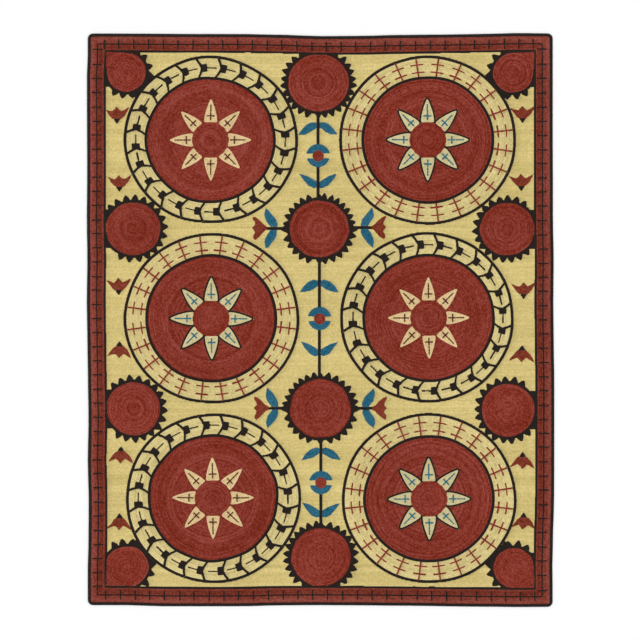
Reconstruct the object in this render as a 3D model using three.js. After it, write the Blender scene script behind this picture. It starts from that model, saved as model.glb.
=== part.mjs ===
// Suzani rug: one flat cloth covered in wool chain stitch, its raw edge overcast in black wool.
// Millimetres. +X runs across the rug, +Y towards its top edge, +Z up from the floor it lies on.
// The origin is on the floor, under the middle of the rug.

import * as THREE from "three";

const RUG_WIDTH = 2445;
const RUG_LENGTH = 3000;
const CORNER_RADIUS = 28;

const CLOTH_THICKNESS = 5;
const BINDING_WIDTH = 11;
const BINDING_HEIGHT = 6.5;
const BINDING_FOOT = 2.2;
const BINDING_DIP = 1;
const SEAM_GAP = 0.3;

const SIDE_STEP = 95;
const CORNER_STEPS = 6;
const BULGE_STEPS = 5;

// The cloth's rings, as a share of the way from the middle to the edge.
const CLOTH_RINGS = [0.12, 0.26, 0.4, 0.53, 0.65, 0.76, 0.86, 0.94];

// How far each edge wanders out from its straight line: `at` runs along the edge from its middle.
const LEFT_EDGE = [
  { at: -1500, out: -2 },
  { at: -1310, out: -2 },
  { at: -1150, out: -6 },
  { at: -945, out: -7 },
  { at: -735, out: -2 },
  { at: -525, out: -6 },
  { at: -315, out: -3 },
  { at: -105, out: 0 },
  { at: 105, out: 3 },
  { at: 315, out: 0 },
  { at: 525, out: 3 },
  { at: 735, out: 1 },
  { at: 1150, out: 2 },
  { at: 1260, out: 3 },
  { at: 1365, out: -2 },
  { at: 1500, out: 0 },
];
const RIGHT_EDGE = [
  { at: -1500, out: -4 },
  { at: -1420, out: -4 },
  { at: -1310, out: -6 },
  { at: -1150, out: -3 },
  { at: -945, out: 3 },
  { at: -735, out: 4 },
  { at: -315, out: 4 },
  { at: -105, out: 1 },
  { at: 105, out: -1 },
  { at: 315, out: 1 },
  { at: 525, out: -3 },
  { at: 735, out: -3 },
  { at: 945, out: -4 },
  { at: 1500, out: -4 },
];
const TOP_EDGE = [
  { at: -1220, out: 3 },
  { at: -1000, out: 2 },
  { at: -630, out: 0 },
  { at: -420, out: 0 },
  { at: -210, out: -4 },
  { at: 0, out: -11 },
  { at: 205, out: -10 },
  { at: 415, out: -5 },
  { at: 625, out: -3 },
  { at: 835, out: 0 },
  { at: 1045, out: 5 },
  { at: 1220, out: 3 },
];
const BOTTOM_EDGE = [
  { at: -1220, out: -4 },
  { at: -1000, out: -4 },
  { at: -840, out: 2 },
  { at: -420, out: 2 },
  { at: -210, out: -3 },
  { at: 0, out: -4 },
  { at: 205, out: -3 },
  { at: 415, out: -1 },
  { at: 835, out: 4 },
  { at: 1045, out: 6 },
  { at: 1220, out: 5 },
];

// The edges wander only near themselves: full at the edge, nothing past this share of the way in.
const WANDER_REACH = 0.2;

// Long low swells in the cloth's top, where it doesn't lie quite even on the floor.
const SWELLS = [
  { heading: 12, length: 930, height: 0.45 },
  { heading: 74, length: 640, height: 0.35 },
  { heading: 131, length: 410, height: 0.2 },
];

// Offset of one edge at a place along it, eased between the two nearest rows of its table.
function edgeOffset(edge, at) {
  const last = edge.length - 1;
  const next = edge.findIndex((row, place) => place === last || (place > 0 && row.at > at));
  const from = edge[next - 1];
  const to = edge[next];
  const share = THREE.MathUtils.smoothstep(at, from.at, to.at);
  return THREE.MathUtils.lerp(from.out, to.out, share);
}

// Moves a point of the even outline to where the uneven one has it.
function wander(point) {
  const shareX = Math.abs(point.x) / (RUG_WIDTH / 2);
  const shareY = Math.abs(point.y) / (RUG_LENGTH / 2);
  const pullX = THREE.MathUtils.smoothstep(shareX, 1 - WANDER_REACH, 1);
  const pullY = THREE.MathUtils.smoothstep(shareY, 1 - WANDER_REACH, 1);
  const side = point.x < 0 ? LEFT_EDGE : RIGHT_EDGE;
  const end = point.y < 0 ? BOTTOM_EDGE : TOP_EDGE;
  const outX = edgeOffset(side, point.y) * pullX;
  const outY = edgeOffset(end, point.x) * pullY;
  return new THREE.Vector2(
    point.x + Math.sign(point.x) * outX,
    point.y + Math.sign(point.y) * outY,
  );
}

// The rug's outline, drawn in by `inset`, anticlockwise from the lower right corner.
function outline(inset) {
  const halfWidth = RUG_WIDTH / 2 - inset;
  const halfLength = RUG_LENGTH / 2 - inset;
  const radius = CORNER_RADIUS - inset;
  const corners = [
    { x: 1, y: -1, from: -90 },
    { x: 1, y: 1, from: 0 },
    { x: -1, y: 1, from: 90 },
    { x: -1, y: -1, from: 180 },
  ];
  const straights = [RUG_LENGTH, RUG_WIDTH, RUG_LENGTH, RUG_WIDTH];
  const arcs = corners.map((corner) => {
    const centre = new THREE.Vector2(corner.x * (halfWidth - radius), corner.y * (halfLength - radius));
    const arc = [];
    for (let step = 0; step <= CORNER_STEPS; step += 1) {
      const angle = THREE.MathUtils.degToRad(corner.from + (90 * step) / CORNER_STEPS);
      arc.push(new THREE.Vector2(Math.cos(angle), Math.sin(angle)).multiplyScalar(radius).add(centre));
    }
    return arc;
  });
  const points = [];
  arcs.forEach((arc, index) => {
    points.push(...arc);
    const start = arc[CORNER_STEPS];
    const end = arcs[(index + 1) % arcs.length][0];
    const steps = Math.round(straights[index] / SIDE_STEP);
    for (let step = 1; step < steps; step += 1) {
      points.push(start.clone().lerp(end, step / steps));
    }
  });
  return points.map(wander);
}

function clothTop(x, y) {
  let height = CLOTH_THICKNESS;
  for (const swell of SWELLS) {
    const heading = THREE.MathUtils.degToRad(swell.heading);
    const along = x * Math.cos(heading) + y * Math.sin(heading);
    height += swell.height * Math.sin((2 * Math.PI * along) / swell.length);
  }
  return height;
}

// Joins closed rings of equal length into a skin: each ring to the next one.
function skinRings(index, rings, count, closed) {
  const bands = closed ? rings.length : rings.length - 1;
  for (let band = 0; band < bands; band += 1) {
    const near = rings[band];
    const far = rings[(band + 1) % rings.length];
    for (let step = 0; step < count; step += 1) {
      const after = (step + 1) % count;
      index.push(near + step, near + after, far + after);
      index.push(near + step, far + after, far + step);
    }
  }
}

function toGeometry(positions, index) {
  const geometry = new THREE.BufferGeometry();
  geometry.setAttribute("position", new THREE.Float32BufferAttribute(positions, 3));
  geometry.setIndex(index);
  geometry.computeVertexNormals();
  return geometry;
}

// A flat slab: a flat underside on the floor, an upright edge and a gently uneven top.
function clothGeometry() {
  const edge = outline(BINDING_WIDTH + SEAM_GAP);
  const count = edge.length;
  const positions = [];
  const index = [];
  const addRing = (points, heightAt) => {
    const start = positions.length / 3;
    for (const point of points) {
      positions.push(point.x, point.y, heightAt(point.x, point.y));
    }
    return start;
  };
  const under = addRing(edge, () => 0);
  const rings = [under, addRing(edge, clothTop)];
  for (const share of [...CLOTH_RINGS].reverse()) {
    rings.push(addRing(edge.map((point) => point.clone().multiplyScalar(share)), clothTop));
  }
  skinRings(index, rings, count, false);
  const inner = rings[rings.length - 1];
  const topMiddle = positions.length / 3;
  positions.push(0, 0, clothTop(0, 0));
  const underMiddle = topMiddle + 1;
  positions.push(0, 0, 0);
  for (let step = 0; step < count; step += 1) {
    const after = (step + 1) % count;
    index.push(inner + step, inner + after, topMiddle);
    index.push(under + after, under + step, underMiddle);
  }
  return toGeometry(positions, index);
}

// The binding's section: a flat foot on the floor, an upright inner face against the cloth,
// a round back bulging outwards and a top that dips towards the cloth. `inset` runs in from
// the outline, `z` up.
function bindingSection() {
  const section = [
    { inset: BINDING_WIDTH, z: 0 },
    { inset: BINDING_FOOT, z: 0 },
  ];
  for (let step = 0; step < BULGE_STEPS; step += 1) {
    const angle = (Math.PI / 2) * (step / (BULGE_STEPS - 1));
    section.push({
      inset: (BINDING_WIDTH / 2) * (1 - Math.cos(angle)),
      z: BINDING_HEIGHT / 2 + (BINDING_HEIGHT / 2) * Math.sin(angle),
    });
  }
  section.push({ inset: BINDING_WIDTH, z: BINDING_HEIGHT - BINDING_DIP });
  return section;
}

function bindingGeometry() {
  const positions = [];
  const index = [];
  const rings = bindingSection().map((corner) => {
    const start = positions.length / 3;
    for (const point of outline(corner.inset)) {
      positions.push(point.x, point.y, corner.z);
    }
    return start;
  });
  const count = positions.length / 3 / rings.length;
  skinRings(index, rings, count, true);
  return toGeometry(positions, index);
}

function stitchedCloth() {
  const wool = new THREE.MeshStandardMaterial({ color: 0xd1bb76, roughness: 0.95, metalness: 0 });
  const mesh = new THREE.Mesh(clothGeometry(), wool);
  mesh.name = "stitched_cloth";
  return mesh;
}

function edgeBinding() {
  const wool = new THREE.MeshStandardMaterial({ color: 0x282826, roughness: 0.95, metalness: 0 });
  const mesh = new THREE.Mesh(bindingGeometry(), wool);
  mesh.name = "edge_binding";
  return mesh;
}

const rug = new THREE.Group();
rug.add(stitchedCloth(), edgeBinding());

// The edges are uneven, so the rug is moved until the origin is under the middle of its box.
const middle = new THREE.Box3().setFromObject(rug).getCenter(new THREE.Vector3());
rug.position.set(-middle.x, -middle.y, 0);

export default rug;
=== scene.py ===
import math
import bpy
import numpy as np
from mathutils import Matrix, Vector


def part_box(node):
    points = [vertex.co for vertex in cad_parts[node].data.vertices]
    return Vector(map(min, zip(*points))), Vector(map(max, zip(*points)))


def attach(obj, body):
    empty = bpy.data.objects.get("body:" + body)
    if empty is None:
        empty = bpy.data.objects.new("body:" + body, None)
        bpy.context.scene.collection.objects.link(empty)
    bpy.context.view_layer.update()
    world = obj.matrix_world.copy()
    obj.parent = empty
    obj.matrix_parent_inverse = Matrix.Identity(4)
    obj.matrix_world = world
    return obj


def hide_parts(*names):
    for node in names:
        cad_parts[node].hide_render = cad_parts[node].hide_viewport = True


# A suzani rug lying on a pale floor. The pattern's tables are in millimetres from the rug's middle,
# +X across and +Y towards the top edge. Blender's own units are metres.

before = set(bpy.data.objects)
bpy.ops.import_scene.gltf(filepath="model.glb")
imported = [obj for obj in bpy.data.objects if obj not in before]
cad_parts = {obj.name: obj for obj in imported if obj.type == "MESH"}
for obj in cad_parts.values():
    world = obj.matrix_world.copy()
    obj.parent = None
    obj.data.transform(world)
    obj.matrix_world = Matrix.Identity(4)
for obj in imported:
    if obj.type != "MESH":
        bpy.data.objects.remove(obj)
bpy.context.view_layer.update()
mm = 0.001
chance = np.random.default_rng(7)


def selectNone():
    for item in bpy.context.selected_objects:
        item.select_set(False)


# camera, light and world
studio = {
    "lens": 90,
    "sensor": 36,
    "seenTo": 100,             # metres
    "viewWidth": 3.3555,       # metres of the rug's plane that the square picture takes in
    "viewMiddle": (-0.0031, 0.0005),
    "rugTop": 0.005,
    "skyColour": (1.0, 1.0, 1.0),
    "skyStrength": 0.80,
    "lampPlace": (-3, 3, 6),
    "lampTilt": (38, 0, 52),
    "lampStrength": 1.15,
    "lampSpread": 50,          # degrees, as wide as a big soft box
    "floorSize": 40.0,
    "floorCuts": 3,
}


def makeStudio():
    selectNone()
    height = studio["viewWidth"] * studio["lens"] / studio["sensor"] + studio["rugTop"]
    spotX, spotY = studio["viewMiddle"]
    bpy.ops.object.camera_add(location=(spotX, spotY, height), rotation=(0, 0, 0))
    camera = bpy.context.object
    camera.name = "camera_above"
    camera.data.lens = studio["lens"]
    camera.data.sensor_width = studio["sensor"]
    camera.data.clip_end = studio["seenTo"]
    bpy.context.scene.camera = camera

    tilt = [math.radians(value) for value in studio["lampTilt"]]
    bpy.ops.object.light_add(type="SUN", location=studio["lampPlace"], rotation=tilt)
    lamp = bpy.context.object
    lamp.name = "soft_box"
    lamp.data.energy = studio["lampStrength"]
    lamp.data.angle = math.radians(studio["lampSpread"])

    world = bpy.data.worlds.new("studio_white")
    bpy.context.scene.world = world
    world.use_nodes = True
    sky = world.node_tree.nodes["Background"]
    sky.inputs["Color"].default_value = (*studio["skyColour"], 1)
    sky.inputs["Strength"].default_value = studio["skyStrength"]
    bpy.context.scene.view_settings.view_transform = "Standard"


makeStudio()
print("camera and light made")


# sizes of the whole rug
rug = {
    "width": 2445,
    "length": 3000,
    "cornerRadius": 28,
    "sharpestCorner": 2.0,     # radius where a line runs far in
    "cornerPoints": 7,
    "bindingWidth": 11,
    "canvasTop": 2.2,          # the canvas, worked all over on its upper side
    "swells": [(12, 930, 0.45), (74, 640, 0.35), (131, 410, 0.2)],   # heading, length, height
    "edgeBand": 40,            # points this near to a side belong to its edge
    "wanderReach": 180,        # how far in the pattern goes along with the uneven edge
    "wanderFade": 70,          # and over what length that dies away
}

# sizes of one row of chain stitch
row = {
    "pitch": 5.25,             # from one row to the next
    "footShare": 1.36,         # a row's foot against its pitch, so that neighbours close up
    "backShare": 0.56,         # the nearly flat back
    "foot": 1.5,               # height of the foot, a little into the canvas
    "back": 5.0,               # height of the back
    "ends": (0.7, 0.5, 0.35),  # width of the foot, width of the back and height, where a row ends
    "stitch": 7.5,             # length of one chain stitch
    "starts": 40,              # a row's pattern starts at any of so many stitches
    "across": (0.0, 0.3, 0.7, 1.0),        # the section's corners in the stitch map
    "sample": 2.5,             # spacing of the points a row is drawn and cut with
    "sag": 0.26,               # how far a bend may stray from its curve
    "longest": 42,             # straight stretch of a row's mesh
    "closest": 0.3,            # two points of a row
    "shortest": 4.5,           # row that is worked at all
    "fewest": 12,              # points round the smallest ring
    "shapeLift": 0.5,          # shapes and outlines stand a little above the filling round them
    "markLift": 0.9,           # a line worked over the filling stands more so
    "markTuck": 1.5,           # and the filling runs this far under its sides
    "markEnds": 3.5,           # and this far under its ends
    "markShare": 0.9,          # of its width that its rows take up
    "padding": -1.1,           # the padding rows under a small shape lie lower
    "weave": (0.2, 23),        # how far a row wanders sideways, and over what length
    "ripple": (0.12, 17),      # how its back rises and falls
}

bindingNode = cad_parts["edge_binding"]
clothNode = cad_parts["stitched_cloth"]


def swell(spots):
    height = np.zeros(len(spots))
    for heading, length, rise in rug["swells"]:
        turn = math.radians(heading)
        along = spots[:, 0] * math.cos(turn) + spots[:, 1] * math.sin(turn)
        height += rise * np.sin(2 * np.pi * along / length)
    return height


def cadOutline():
    # the binding's outermost ring, at half its height, as the CAD model has it
    spots = np.array([vertex.co[:] for vertex in bindingNode.data.vertices]) / mm
    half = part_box("edge_binding")[1].z / mm / 2
    ring = np.unique(np.round(spots[np.abs(spots[:, 2] - half) < 0.05][:, :2], 3), axis=0)
    return ring


def sideTable(axis, sign):
    # how far one edge of the rug stands out from its straight line, along that edge
    other = 1 - axis
    straight = halfSizes[axis]
    reach = halfSizes[other] - rug["cornerRadius"] - 2
    onSide = outlineRing[:, axis] * sign > straight - rug["edgeBand"]
    near = outlineRing[onSide & (np.abs(outlineRing[:, other]) < reach)]
    near = near[np.argsort(near[:, other])]
    return near[:, other], near[:, axis] * sign - straight


outlineRing = cadOutline()
halfWidth = rug["width"] / 2
halfLength = rug["length"] / 2
halfSizes = (halfWidth, halfLength)
edgeOut = {
    "left": sideTable(0, -1),
    "right": sideTable(0, 1),
    "top": sideTable(1, 1),
    "bottom": sideTable(1, -1),
}


def wander(spots):
    # moves points of the even border to where the rug's uneven edge takes them
    x, y = spots[:, 0], spots[:, 1]
    outX = np.where(x < 0, np.interp(y, *edgeOut["left"]), np.interp(y, *edgeOut["right"]))
    outY = np.where(y < 0, np.interp(x, *edgeOut["bottom"]), np.interp(x, *edgeOut["top"]))
    pull = np.clip((np.abs(spots) - halfSizes + rug["wanderReach"]) / rug["wanderFade"], 0, 1)
    return spots + np.sign(spots) * np.stack([outX, outY], 1) * pull


# lines and shapes on the cloth

def densify(corners, closed, step):
    # the same line, with a point at every step
    corners = np.asarray(corners, float)
    ends = np.roll(corners, -1, 0) if closed else corners[1:]
    starts = corners if closed else corners[:-1]
    spots = []
    for start, end in zip(starts, ends):
        count = max(1, math.ceil(np.hypot(*(end - start)) / step))
        shares = np.arange(count)[:, None] / count
        spots.append(start + (end - start) * shares)
    if not closed:
        spots.append(corners[-1:])
    return np.concatenate(spots)


def directions(spots, closed):
    # unit vectors along a line and to its left, at each of its points
    if closed:
        ahead = np.roll(spots, -1, 0) - np.roll(spots, 1, 0)
    else:
        ahead = np.gradient(spots, axis=0)
    ahead = ahead / np.maximum(np.hypot(ahead[:, 0], ahead[:, 1]), 1e-6)[:, None]
    return ahead, np.stack([-ahead[:, 1], ahead[:, 0]], 1)


def makeWaves(reach):
    # how a hand-drawn round strays from a true one, in five slow waves that add up to the reach
    size = reach / math.sqrt(2.5)
    return [(count, chance.normal(0, size), chance.uniform(0, 2 * math.pi)) for count in (2, 3, 5, 7, 10)]


def stray(waves, turn):
    return sum(reach * np.sin(count * turn + start) for count, reach, start in waves)


def ellipse(centre, radii, outWaves=(), inWaves=(), share=1.0):
    # a round that strays as one of two does, or as a mean of both
    girth = 2 * math.pi * math.sqrt((radii[0] ** 2 + radii[1] ** 2) / 2)
    count = max(row["fewest"], int(girth / row["sample"]))
    turn = np.arange(count) / count * 2 * np.pi
    off = (stray(outWaves, turn) * share + stray(inWaves, turn) * (1 - share)) / max(np.mean(radii), 1)
    return np.stack([centre[0] + radii[0] * (1 + off) * np.cos(turn),
                     centre[1] + radii[1] * (1 + off) * np.sin(turn)], 1)


def clockPoint(centre, radii, degrees, share=1.0):
    # a point on an ellipse, by its angle clockwise from straight up
    turn = math.radians(degrees)
    across, up = math.sin(turn), math.cos(turn)
    return np.array([centre[0] + radii[0] * share * across, centre[1] + radii[1] * share * up])


def borderLoop(left, right, top, bottom, step=None):
    # a line that runs round the rug, so far in from each edge
    inset = (left + right + top + bottom) / 4
    radius = max(rug["cornerRadius"] - inset, rug["sharpestCorner"])
    lowX, highX = -halfWidth + left + radius, halfWidth - right - radius
    lowY, highY = -halfLength + bottom + radius, halfLength - top - radius
    turns = np.linspace(0, 90, rug["cornerPoints"])
    corners = ((highX, lowY, -90), (highX, highY, 0), (lowX, highY, 90), (lowX, lowY, 180))
    spots = []
    for centreX, centreY, start in corners:
        for turn in np.radians(start + turns):
            spots.append((centreX + radius * math.cos(turn), centreY + radius * math.sin(turn)))
    return wander(densify(spots, True, step or row["sample"]))


def distanceTo(spots, corners, closed):
    corners = np.asarray(corners, float)
    starts = corners if closed else corners[:-1]
    ends = np.roll(corners, -1, 0) if closed else corners[1:]
    best = np.full(len(spots), np.inf)
    for start, end in zip(starts, ends):
        run = end - start
        size = max(run @ run, 1e-9)
        share = np.clip(((spots - start) @ run) / size, 0, 1)
        away = spots - start - share[:, None] * run
        best = np.minimum(best, np.hypot(away[:, 0], away[:, 1]))
    return best


def signedArea(corners):
    # twice a shape's area, and below zero where the shape runs clockwise
    return np.sum(corners[:, 0] * np.roll(corners[:, 1], -1) - np.roll(corners[:, 0], -1) * corners[:, 1])


def insideOf(spots, corners):
    corners = np.asarray(corners, float)
    inside = np.zeros(len(spots), bool)
    for (ax, ay), (bx, by) in zip(corners, np.roll(corners, -1, 0)):
        if ay == by:
            continue
        crosses = (spots[:, 1] < ay) != (spots[:, 1] < by)
        inside ^= crosses & (spots[:, 0] < (bx - ax) * (spots[:, 1] - ay) / (by - ay) + ax)
    return inside


# The zone map says what is worked where. It is filled from the back of the pattern to its front.
zoneNames = ["bare", "ground", "sunRed", "sunBlack", "stem", "leaf", "tulip", "tip", "roundelDot",
             "ringLine", "band", "bandMark", "bandBrick", "disc", "petalLine", "petal", "shaft",
             "borderRed", "borderLine"]
zone = {name: place for place, name in enumerate(zoneNames)}
cell = 1.5
margin = 20                # the map reaches this far past the rug
cellsX = int(2 * (halfWidth + margin) / cell)
cellsY = int(2 * (halfLength + margin) / cell)
zoneMap = np.zeros((cellsY, cellsX), np.uint8)


def cellOf(spots):
    column = np.clip(((spots[:, 0] + halfWidth + margin) / cell).astype(int), 0, cellsX - 1)
    line = np.clip(((spots[:, 1] + halfLength + margin) / cell).astype(int), 0, cellsY - 1)
    return line, column


def cellMiddle(line, column):
    return (column + 0.5) * cell - halfWidth - margin, (line + 0.5) * cell - halfLength - margin


def cellsNear(low, high):
    # the cells of an oblong stretch of the map, and their middles
    lowLine, lowColumn = cellOf(np.array([low], float))
    highLine, highColumn = cellOf(np.array([high], float))
    lines = np.arange(lowLine[0], highLine[0] + 1)
    columns = np.arange(lowColumn[0], highColumn[0] + 1)
    line, column = [part.ravel() for part in np.meshgrid(lines, columns, indexing="ij")]
    return line, column, np.stack(cellMiddle(line, column), 1)


def paintShape(corners, name, only=None):
    corners = np.asarray(corners, float)
    line, column, spots = cellsNear(corners.min(0), corners.max(0))
    hit = insideOf(spots, corners)
    if only is not None:
        hit &= np.isin(zoneMap[line, column], [zone[item] for item in only])
    zoneMap[line[hit], column[hit]] = zone[name]


def paintEllipse(centre, radii, name, waves=()):
    centre, radii = np.array(centre, float), np.array(radii, float)
    line, column, spots = cellsNear(centre - radii * 1.05, centre + radii * 1.05)
    across, up = ((spots - centre) / radii).T
    hit = np.hypot(across, up) <= 1 + stray(waves, np.arctan2(up, across)) / radii.mean()
    zoneMap[line[hit], column[hit]] = zone[name]


def paintStroke(corners, width, name, closed=False):
    corners = np.asarray(corners, float)
    line, column, spots = cellsNear(corners.min(0) - width, corners.max(0) + width)
    hit = distanceTo(spots, corners, closed) <= width / 2
    zoneMap[line[hit], column[hit]] = zone[name]


def paintMark(corners, width, name):
    # a line over the filling: the filling runs on a little way under its sides and its ends
    corners = np.array(corners, float)
    for end, inner in ((0, 1), (-1, -2)):
        run = corners[inner] - corners[end]
        length = np.hypot(*run)
        corners[end] += run / length * min(row["markEnds"], length / 3)
    paintStroke(corners, width - 2 * row["markTuck"], name)


def zoneAt(spots):
    line, column = cellOf(spots)
    return zoneMap[line, column]


# rows of chain stitch
woolRows = {}              # piece -> its finished rows
rowCount = 0

hank = {
    # the tones of one colour's rows, in units of the material's spread
    "related": 0.6,            # neighbouring rows take their yarn from the same hank
    "ringRelated": 0.25,       # rings less so
    "reach": 2,                # neighbours on each side
    "variance": 0.66,
    "limit": 1.8,
    "lineSpread": 0.4,         # from row to row in a line
    "shapeSpread": 0.5,        # and in a small shape
}


def smoothTones(count, related=hank["related"]):
    # each tone is partly its row's own and partly its neighbours'
    reach = hank["reach"]
    own = math.sqrt(hank["variance"] - related ** 2)
    raw = chance.normal(0, 1, count + 2 * reach)
    kernel = np.ones(2 * reach + 1)
    smooth = np.convolve(raw, kernel / math.sqrt(len(kernel)), "valid")
    return np.clip(related * smooth + own * chance.normal(0, 1, count), -hank["limit"], hank["limit"])


def thinOut(spots, closed):
    # keeps just the points that a row's bends need
    if len(spots) < 4:
        return spots
    ahead = (np.roll(spots, -1, 0) - spots) if closed else np.diff(spots, axis=0)
    length = np.hypot(ahead[:, 0], ahead[:, 1])
    heading = np.unwrap(np.arctan2(ahead[:, 1], ahead[:, 0]))
    if closed:
        turning = np.abs(np.angle(np.exp(1j * (heading - np.roll(heading, 1)))))
    else:
        turning = np.abs(np.r_[0, np.diff(heading)])
    smooth = (turning + np.roll(turning, 1) + np.roll(turning, -1)) / 3
    bend = np.maximum(smooth, turning * 0.6) / np.maximum(length, 0.2)
    # a chord strays from its curve by its length squared times the bend, over 8
    cost = length * np.maximum(1 / row["longest"], np.sqrt(bend / (8 * row["sag"])))
    total = np.cumsum(cost)
    steps = max(int(math.ceil(total[-1])), 8 if closed else 1)
    marks = np.arange(steps) / steps * total[-1]
    keep = set(np.searchsorted(np.r_[0, total], marks).tolist())
    keep = {place for place in keep if place < len(spots)}
    if not closed:
        # the ends stay, with the points next to them, where the row tapers
        last = len(spots) - 1
        keep = {place for place in keep if 1 < place < last - 1} | {0, 1, last - 1, last}
    return spots[sorted(keep)]


def cutRow(spots, closed, here):
    # the stretches of a row where it is wanted, each one ending half-way to the next point
    if here.all():
        return [(spots, closed)]
    if not here.any():
        return []
    if closed:
        start = int(np.argmin(here))
        spots = np.roll(spots, -start, 0)
        here = np.roll(here, -start)
    edges = np.flatnonzero(np.diff(np.r_[0, here.astype(int), 0]))
    last = len(spots) - 1
    parts = []
    for first, end in zip(edges[::2], edges[1::2]):
        head = (spots[first] + spots[max(first - 1, 0)]) / 2
        tail = (spots[end - 1] + spots[min(end, last)]) / 2
        parts.append((np.vstack([head, spots[first:end], tail]), False))
    return parts


def sewRow(piece, spots, closed=False, within=None, tone=0.0, pitch=None, lift=0.0):
    # draws one row of chain stitch along the points, only where the zone map has its own zone
    global rowCount
    here = np.ones(len(spots), bool) if within is None else zoneAt(spots) == zone[within]
    for part, whole in cutRow(spots, closed, here):
        if not whole:
            hops = np.hypot(*np.diff(part, axis=0).T)
            if hops.sum() < row["shortest"]:
                continue
            part = part[np.r_[True, hops > row["closest"]]]
        # a padding row is straight and out of sight, so its two ends are enough
        bends = part[[0, -1]] if lift == row["padding"] else thinOut(part, whole)
        rowCount += 1
        woolRows.setdefault(piece, []).append((bends, whole, tone, pitch or row["pitch"], lift))


def sewLine(piece, corners, width, closed=False, within=None, lift=0.0):
    # a line of one row or more, side by side
    count = max(1, round(width / row["pitch"]))
    pitch = width / count
    spots = densify(corners, closed, row["sample"])
    _, aside = directions(spots, closed)
    for place in range(count):
        offset = (place - (count - 1) / 2) * pitch
        tone = chance.normal(0, hank["lineSpread"])
        sewRow(piece, spots + aside * offset, closed, within, tone, pitch, lift)


def sewMark(piece, corners, width):
    # a line of a row or two worked over the filling
    sewLine(piece, corners, width * row["markShare"], lift=row["markLift"])


nest = {
    # a small shape's filling: rows that follow its outline, one inside the other, over padding rows
    "searchSteps": 40,         # how finely its deepest point is looked for
    "searchStep": 1.5,         # but no finer than this
    "narrowest": 3.2,          # pitch of its rows
    "outlineStep": 2,
    "first": 0.4,              # of a pitch, from the outline to the first row
    "clearance": 0.94,         # of its own depth that a row keeps from every part of the outline
    "jump": 5,                 # pitches: a wider jump breaks a row in two
    "paddingFoot": 2.5,        # from the shape's lowest point to the lowest padding row
    "paddingTop": 1,
    "paddingStep": 1.5,
    "paddingDepth": 2.6,       # that the padding keeps from the outline
}


def sewShape(piece, corners, within=None, lift=0.0):
    # fills a shape with nested rows
    corners = np.asarray(corners, float)
    if signedArea(corners) < 0:
        corners = corners[::-1]
    low, high = corners.min(0), corners.max(0)
    step = max(nest["searchStep"], (high - low).max() / nest["searchSteps"])
    gridX, gridY = np.meshgrid(np.arange(low[0], high[0], step), np.arange(low[1], high[1], step))
    grid = np.stack([gridX.ravel(), gridY.ravel()], 1)
    grid = grid[insideOf(grid, corners)]
    deepest = distanceTo(grid, corners, True).max() if len(grid) else row["pitch"] / 2
    count = max(1, round(deepest / row["pitch"] + 0.1))
    pitch = max(deepest / count, nest["narrowest"])

    for level in np.arange(low[1] + nest["paddingFoot"], high[1] - nest["paddingTop"], row["pitch"]):
        line = densify([(low[0], level), (high[0], level)], False, nest["paddingStep"])
        deep = insideOf(line, corners) & (distanceTo(line, corners, True) > nest["paddingDepth"])
        for part, _ in cutRow(line, False, deep):
            sewRow(piece, part, False, within, lift=row["padding"])

    spots, inward = [], []
    for start, end in zip(corners, np.roll(corners, -1, 0)):
        run = end - start
        length = np.hypot(*run)
        if length < 0.01:
            continue
        steps = max(1, math.ceil(length / nest["outlineStep"]))
        spots.append(start + run * np.arange(steps)[:, None] / steps)
        inward.append(np.tile([-run[1] / length, run[0] / length], (steps, 1)))
    spots, inward = np.concatenate(spots), np.concatenate(inward)
    for place in range(count):
        depth = (place + nest["first"]) * pitch
        inner = spots + inward * depth
        keep = insideOf(inner, corners) & (distanceTo(inner, corners, True) > depth * nest["clearance"])
        if keep.sum() < 3:
            continue
        inner = inner[keep]
        jumps = np.hypot(*(np.roll(inner, -1, 0) - inner).T) > nest["jump"] * pitch
        whole = not jumps.any()
        pieces = [inner]
        if not whole:
            first = int(np.argmax(jumps)) + 1
            inner, jumps = np.roll(inner, -first, 0), np.roll(jumps, -first)
            pieces = np.split(inner, np.flatnonzero(jumps[:-1]) + 1)
        tone = chance.normal(0, hank["shapeSpread"])
        for part in pieces:
            if whole or len(part) > 2:
                sewRow(piece, densify(part, whole, row["sample"]), whole, within, tone, pitch, lift)


def sewRings(piece, centreIn, centreOut, inner, outer, within, inWaves=(), outWaves=(), lift=0.0):
    # rows that run round a middle, from an inner ellipse to an outer one
    inner, outer = np.array(inner, float), np.array(outer, float)
    centreIn, centreOut = np.array(centreIn, float), np.array(centreOut, float)
    count = max(1, round((outer - inner).mean() / row["pitch"]))
    tones = smoothTones(count, hank["ringRelated"])
    pitch = (outer - inner).mean() / count
    for place in range(count):
        share = (place + 0.5) / count
        radii = inner + (outer - inner) * share
        centre = centreIn + (centreOut - centreIn) * share
        spots = ellipse(centre, radii, outWaves, inWaves, share)
        spots = np.roll(spots, chance.integers(len(spots)), 0)
        sewRow(piece, spots, True, within, tones[place], pitch, lift)


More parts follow.
